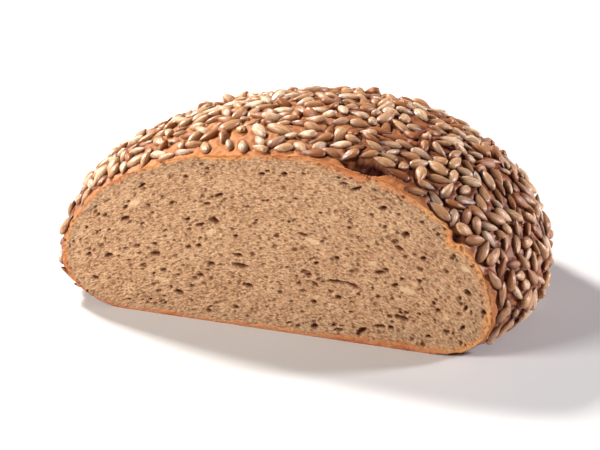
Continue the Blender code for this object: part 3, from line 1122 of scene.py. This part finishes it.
def crust_material():
    make = Shader("browned crust")
    mottle = make.ranged(make.noise(55, 4), 0.35, 0.68)
    blotch = make.ranged(make.noise(160, 4), 0.40, 0.70)
    speck = make.ranged(make.noise(900, 2), 0.45, 0.75)
    pale_and_lit = make.layer("pale_and_lit")
    bare = make.mix(mottle, *BARE_DOUGH)
    bare = make.mix(make.part(blotch, 0.4), bare, BLOTCHES)
    # Darker dough where kernels lie packed: painted shade
    between = make.mix(blotch, *SHADED_DOUGH_BETWEEN)
    colour = make.mix(make.layer("packed"), bare, between)
    # Paler dough on top: partly its own bake, partly painted light where the light falls
    paler = make.mix(mottle, *PALE_LIT_DOUGH)
    colour = make.mix(make.part(pale_and_lit, 0.88), colour, paler)
    wander = make.ranged(make.noise(90, 4), 0.3, 0.7, -1.6, 1.6)
    behind = make.math("ADD", make.layer("behind"), wander)
    colour = make.mix(make.ranged(behind, 5.0, 0.8, 0.0, 0.70), colour, DOUGH_BY_CUT)
    colour = make.mix(make.part(speck, 0.34), colour, SPECKS)
    # Painted highlight on the dough raised round each kernel
    colour = make.mix(make.part(make.layer("collar"), 0.28), colour, COLLAR_HIGHLIGHT)
    # Painted shade in the hollows
    deep = make.ranged(make.layer("hollow_shade"), 0.10, 0.80)
    colour = make.mix(deep, colour, HOLLOW_SHADE)
    under = make.mix(blotch, *UNDERSIDE)
    colour = make.mix(make.layer("under"), colour, under)
    matt = make.math("MAXIMUM", deep, make.ranged(pale_and_lit, 0.1, 0.6))
    roughness = make.math("ADD", make.ranged(blotch, 0, 1, 0.40, 0.58), make.part(matt, 0.30))
    normal = make.bumped(make.noise(420, 4), 0.45, 0.0006)
    normal = make.bumped(make.noise(1500, 3), 0.30, 0.0003, normal)
    return make.finished(colour, roughness, 0.27, normal)


def crumb_material():
    make = Shader("crumb")
    flow = make.node("ShaderNodeAttribute", {}, attribute_name="grain")["Vector"]
    mottle = make.ranged(make.noise(60, 5, flow), 0.35, 0.66)
    grain = make.ranged(make.noise(400, 2, flow), 0.42, 0.62)
    fine = make.ranged(make.noise(720, 2, flow), 0.46, 0.66)
    rim = make.layer("rim")
    colour = make.mix(mottle, *CRUMB)
    # Painted shade on the crumb near the rim
    shade_near_rim = make.ranged(make.math("ADD", rim, make.ranged(mottle, 0, 1, -2, 2)), 8, 3)
    colour = make.mix(make.part(shade_near_rim, 0.5), colour, SHADED_CRUMB_NEAR_RIM)
    colour = make.mix(make.part(grain, 0.66), colour, DARK_GRAIN)
    colour = make.mix(make.part(fine, 0.54), colour, PALE_GRAIN)
    near = make.math("ADD", rim, make.ranged(make.noise(60, 5), 0.3, 0.7, -1.3, 1.5))
    edge = make.mix(make.ranged(make.noise(45, 3), 0.40, 0.62), *RIM)
    edge = make.mix(make.layer("foot"), edge, FOOT)
    colour = make.mix(make.ranged(near, 3.6, 0.3, 0.0, 0.80), colour, edge)
    colour = make.mix(make.ranged(near, 0.5, -0.6, 0.0, 0.6), colour, RIM_LINE)
    # Painted shade in the pores
    colour = make.mix(make.layer("pore_shade"), colour, PORE_SHADE)
    colour = make.mix(make.part(make.layer("seed"), 0.8), colour, SEEDS_IN_CRUMB)
    pits = make.ranged(make.pits(520, flow), 0.05, 0.60)
    normal = make.bumped(pits, 0.60, 0.0005)
    normal = make.bumped(make.noise(1000, 2, flow), 0.30, 0.0003, normal)
    return make.finished(colour, 0.86, 0.25, normal)


def kernel_material():
    make = Shader("roasted kernel")
    tone = make.layer("tone")
    colour = make.mix(make.ranged(tone, 0.0, 0.6), *KERNEL)
    colour = make.mix(make.ranged(tone, 0.6, 1.0), colour, DARK_KERNEL)
    places = {"X": make.layer("lengthways"), "Y": make.layer("crossways")}
    streak = make.noise(3.2, 3, make.node("ShaderNodeCombineXYZ", places)["Vector"])
    colour = make.mix(make.ranged(streak, 0.42, 0.66, 0.0, 0.64), colour, STREAKS)
    colour = make.mix(make.part(make.layer("toast"), 0.84), colour, TOASTED)
    # Painted shade at each kernel's foot
    colour = make.mix(make.part(make.layer("low"), 0.97), colour, KERNEL_FOOT_SHADE)
    normal = make.bumped(streak, 0.8, 0.0004)
    normal = make.bumped(make.noise(1100, 2), 0.25, 0.0003, normal)
    return make.finished(colour, 0.31, 0.46, normal)


def floor_material():
    make = Shader("pale floor")
    return make.finished(make.mix(make.noise(6, 2), *FLOOR), 0.7, 0.5)


# Stage

CAMERA_RISE = math.radians(23.0)
CAMERA_TURN = math.radians(20.2)
CAMERA_DISTANCE = 1.3
CAMERA_FOOT = Vector((0.0, AXIS_Y, 0.0))
CAMERA_AIM = Vector((-0.003, AXIS_Y, 0.034))
PHOTO_LENS = 99.8
ENLARGED = 1.70
SENSOR_WIDTH = 36
NEAREST_SEEN = 0.05

FLOOR_HALF = 6.0
LIGHTS_AIM = Vector((0, 0, 0.03))

# Each light's name, place, power in watts, width and colour
LIGHTS = (
    ("key", (-0.90, 0.42, 0.89), 28, 0.20, (1.0, 0.975, 0.94)),
    ("front", (-0.95, -1.05, 0.80), 25.4, 0.7, (1.0, 0.98, 0.96)),
    ("right", (1.1, 0.50, 0.42), 17.5, 0.18, (0.94, 0.92, 1.0)),
)
WORLD_COLOUR = (1.0, 0.92, 0.84, 1)
WORLD_STRENGTH = 0.07


def aimed(data, location, target):
    """An object at this place that looks at the target."""
    made = bpy.data.objects.new(data.name, data)
    bpy.context.scene.collection.objects.link(made)
    made.location = location
    made.rotation_euler = (target - made.location).to_track_quat("-Z", "Y").to_euler()
    return made


def add_camera():
    data = bpy.data.cameras.new("camera")
    data.lens = PHOTO_LENS * ENLARGED
    data.sensor_width = SENSOR_WIDTH
    data.clip_start = NEAREST_SEEN
    level = math.cos(CAMERA_RISE)
    away = Vector((math.sin(CAMERA_TURN) * level, -math.cos(CAMERA_TURN) * level, math.sin(CAMERA_RISE)))
    bpy.context.scene.camera = aimed(data, CAMERA_FOOT + away * CAMERA_DISTANCE, CAMERA_AIM)


def add_light(name, location, power, width, colour):
    data = bpy.data.lights.new(name, "AREA")
    data.energy = power
    data.size = width
    data.color = colour
    aimed(data, location, LIGHTS_AIM)


def add_stage():
    corners = [(x * FLOOR_HALF, y * FLOOR_HALF, 0) for x, y in ((-1, -1), (1, -1), (1, 1), (-1, 1))]
    floor = mesh_of("floor", corners, [(0, 1, 2, 3)], {})
    floor.data.materials.append(floor_material())
    for light in LIGHTS:
        add_light(*light)
    world = bpy.data.worlds.new("studio")
    world.use_nodes = True
    background = world.node_tree.nodes["Background"]
    background.inputs["Color"].default_value = WORLD_COLOUR
    background.inputs["Strength"].default_value = WORLD_STRENGTH
    bpy.context.scene.world = world
    bpy.context.scene.view_settings.view_transform = "Standard"


def main():
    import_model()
    draw = random.Random(RANDOM_START)
    frames = kernel_frames(draw)
    crust, outline = make_crust(frames)
    crumb = make_crumb(outline, random.Random(PORES_START))
    kernels = make_kernels(frames, random.Random(FORMS_START))
    for piece, slot, material in (
        (crust, "crust", crust_material()),
        (crumb, "crumb", crumb_material()),
        (kernels, "seed", kernel_material()),
    ):
        piece.data.materials.clear()
        piece.data.materials.append(material)
        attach(piece, "root")
        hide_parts("loaf")
    add_camera()
    add_stage()


main()
